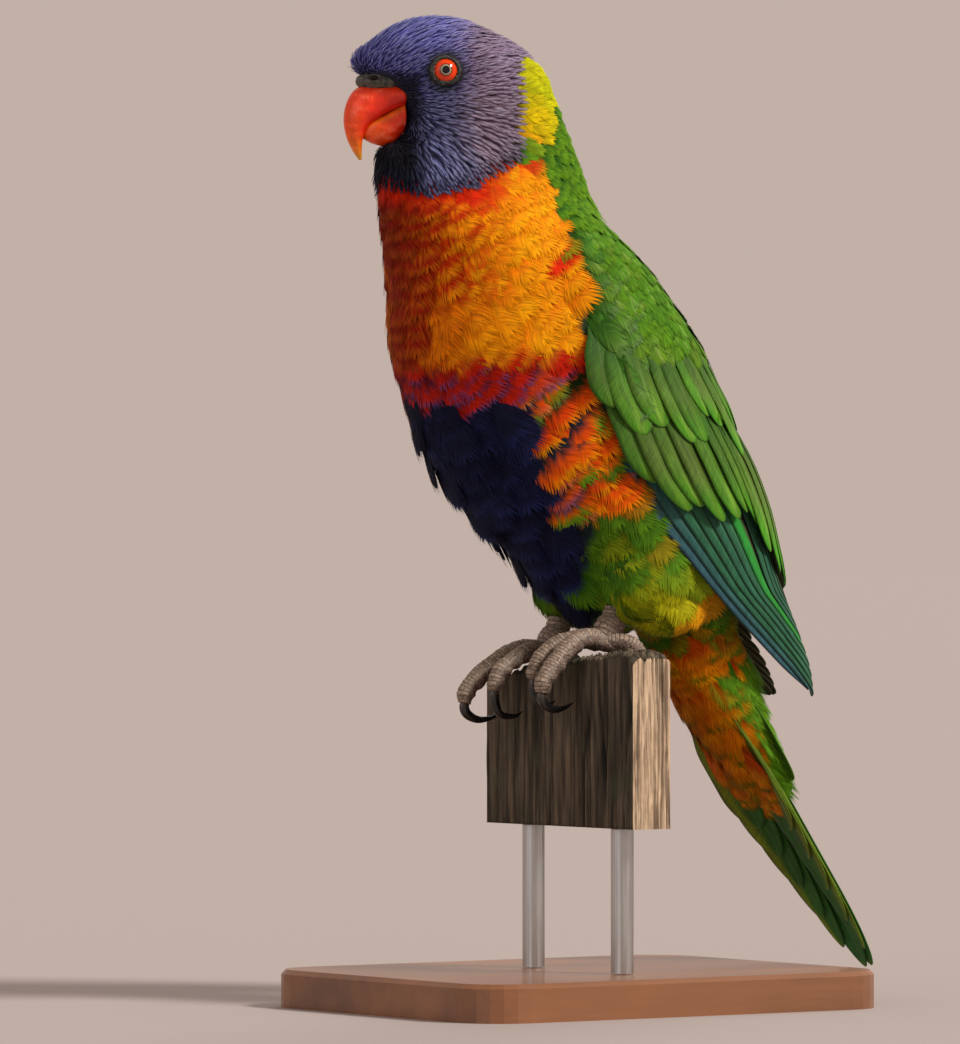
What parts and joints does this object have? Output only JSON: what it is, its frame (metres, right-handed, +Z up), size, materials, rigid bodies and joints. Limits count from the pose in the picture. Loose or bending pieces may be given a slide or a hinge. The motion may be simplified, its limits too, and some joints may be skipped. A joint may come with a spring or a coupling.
{
  "type": "bird figure",
  "caption": "Life-size rainbow lorikeet that grips a cut length of weathered board, head turned to its right, on a plain wooden display stand.",
  "frame": {"origin": "centre of the stand base's underside, on the floor", "axes": "+Z up; the bird's body faces -Y, so its tail is towards +Y, and its left side is +X"},
  "size_m": [0.104, 0.1646, 0.2608],
  "materials": {
    "head_feathers": "matt, silky violet-blue feathers",
    "neck_feathers": "matt yellow-green feathers",
    "breast_feathers": "matt orange and red feathers over a dark blue belly",
    "wing_feathers": "satin green flight feathers",
    "tail_feathers": "satin green feathers, yellow and red below",
    "thigh_feathers": "matt green and yellow feathers",
    "bill": "smooth red horn, orange to the tip",
    "cere": "bare grey-brown skin",
    "eye": "wet orange-red iris with a dark pupil",
    "feet": "scaly grey-brown skin",
    "claws": "near-black horn",
    "weathered_wood": "bare, grey, split and worn",
    "base_wood": "satin varnish",
    "rod_steel": "brushed"
  },
  "bodies": {
    "root": {"bill_lower": "bill", "bill_upper": "bill", "cere": "cere", "claw_left_inner_front": "claws", "claw_left_inner_hind": "claws", "claw_left_outer_front": "claws", "claw_left_outer_hind": "claws", "claw_right_inner_front": "claws", "claw_right_inner_hind": "claws", "claw_right_outer_front": "claws", "claw_right_outer_hind": "claws", "eye_left": "eye", "eye_right": "eye", "foot_left": "feet", "foot_right": "feet", "head": "head_feathers", "neck": "neck_feathers", "perch": "weathered_wood", "stand_base": "base_wood", "stand_rod_left": "rod_steel", "stand_rod_right": "rod_steel", "tail": "tail_feathers", "thigh_left": "thigh_feathers", "thigh_right": "thigh_feathers", "torso": "breast_feathers", "wing_left": "wing_feathers", "wing_right": "wing_feathers"}
  },
  "joints": []
}
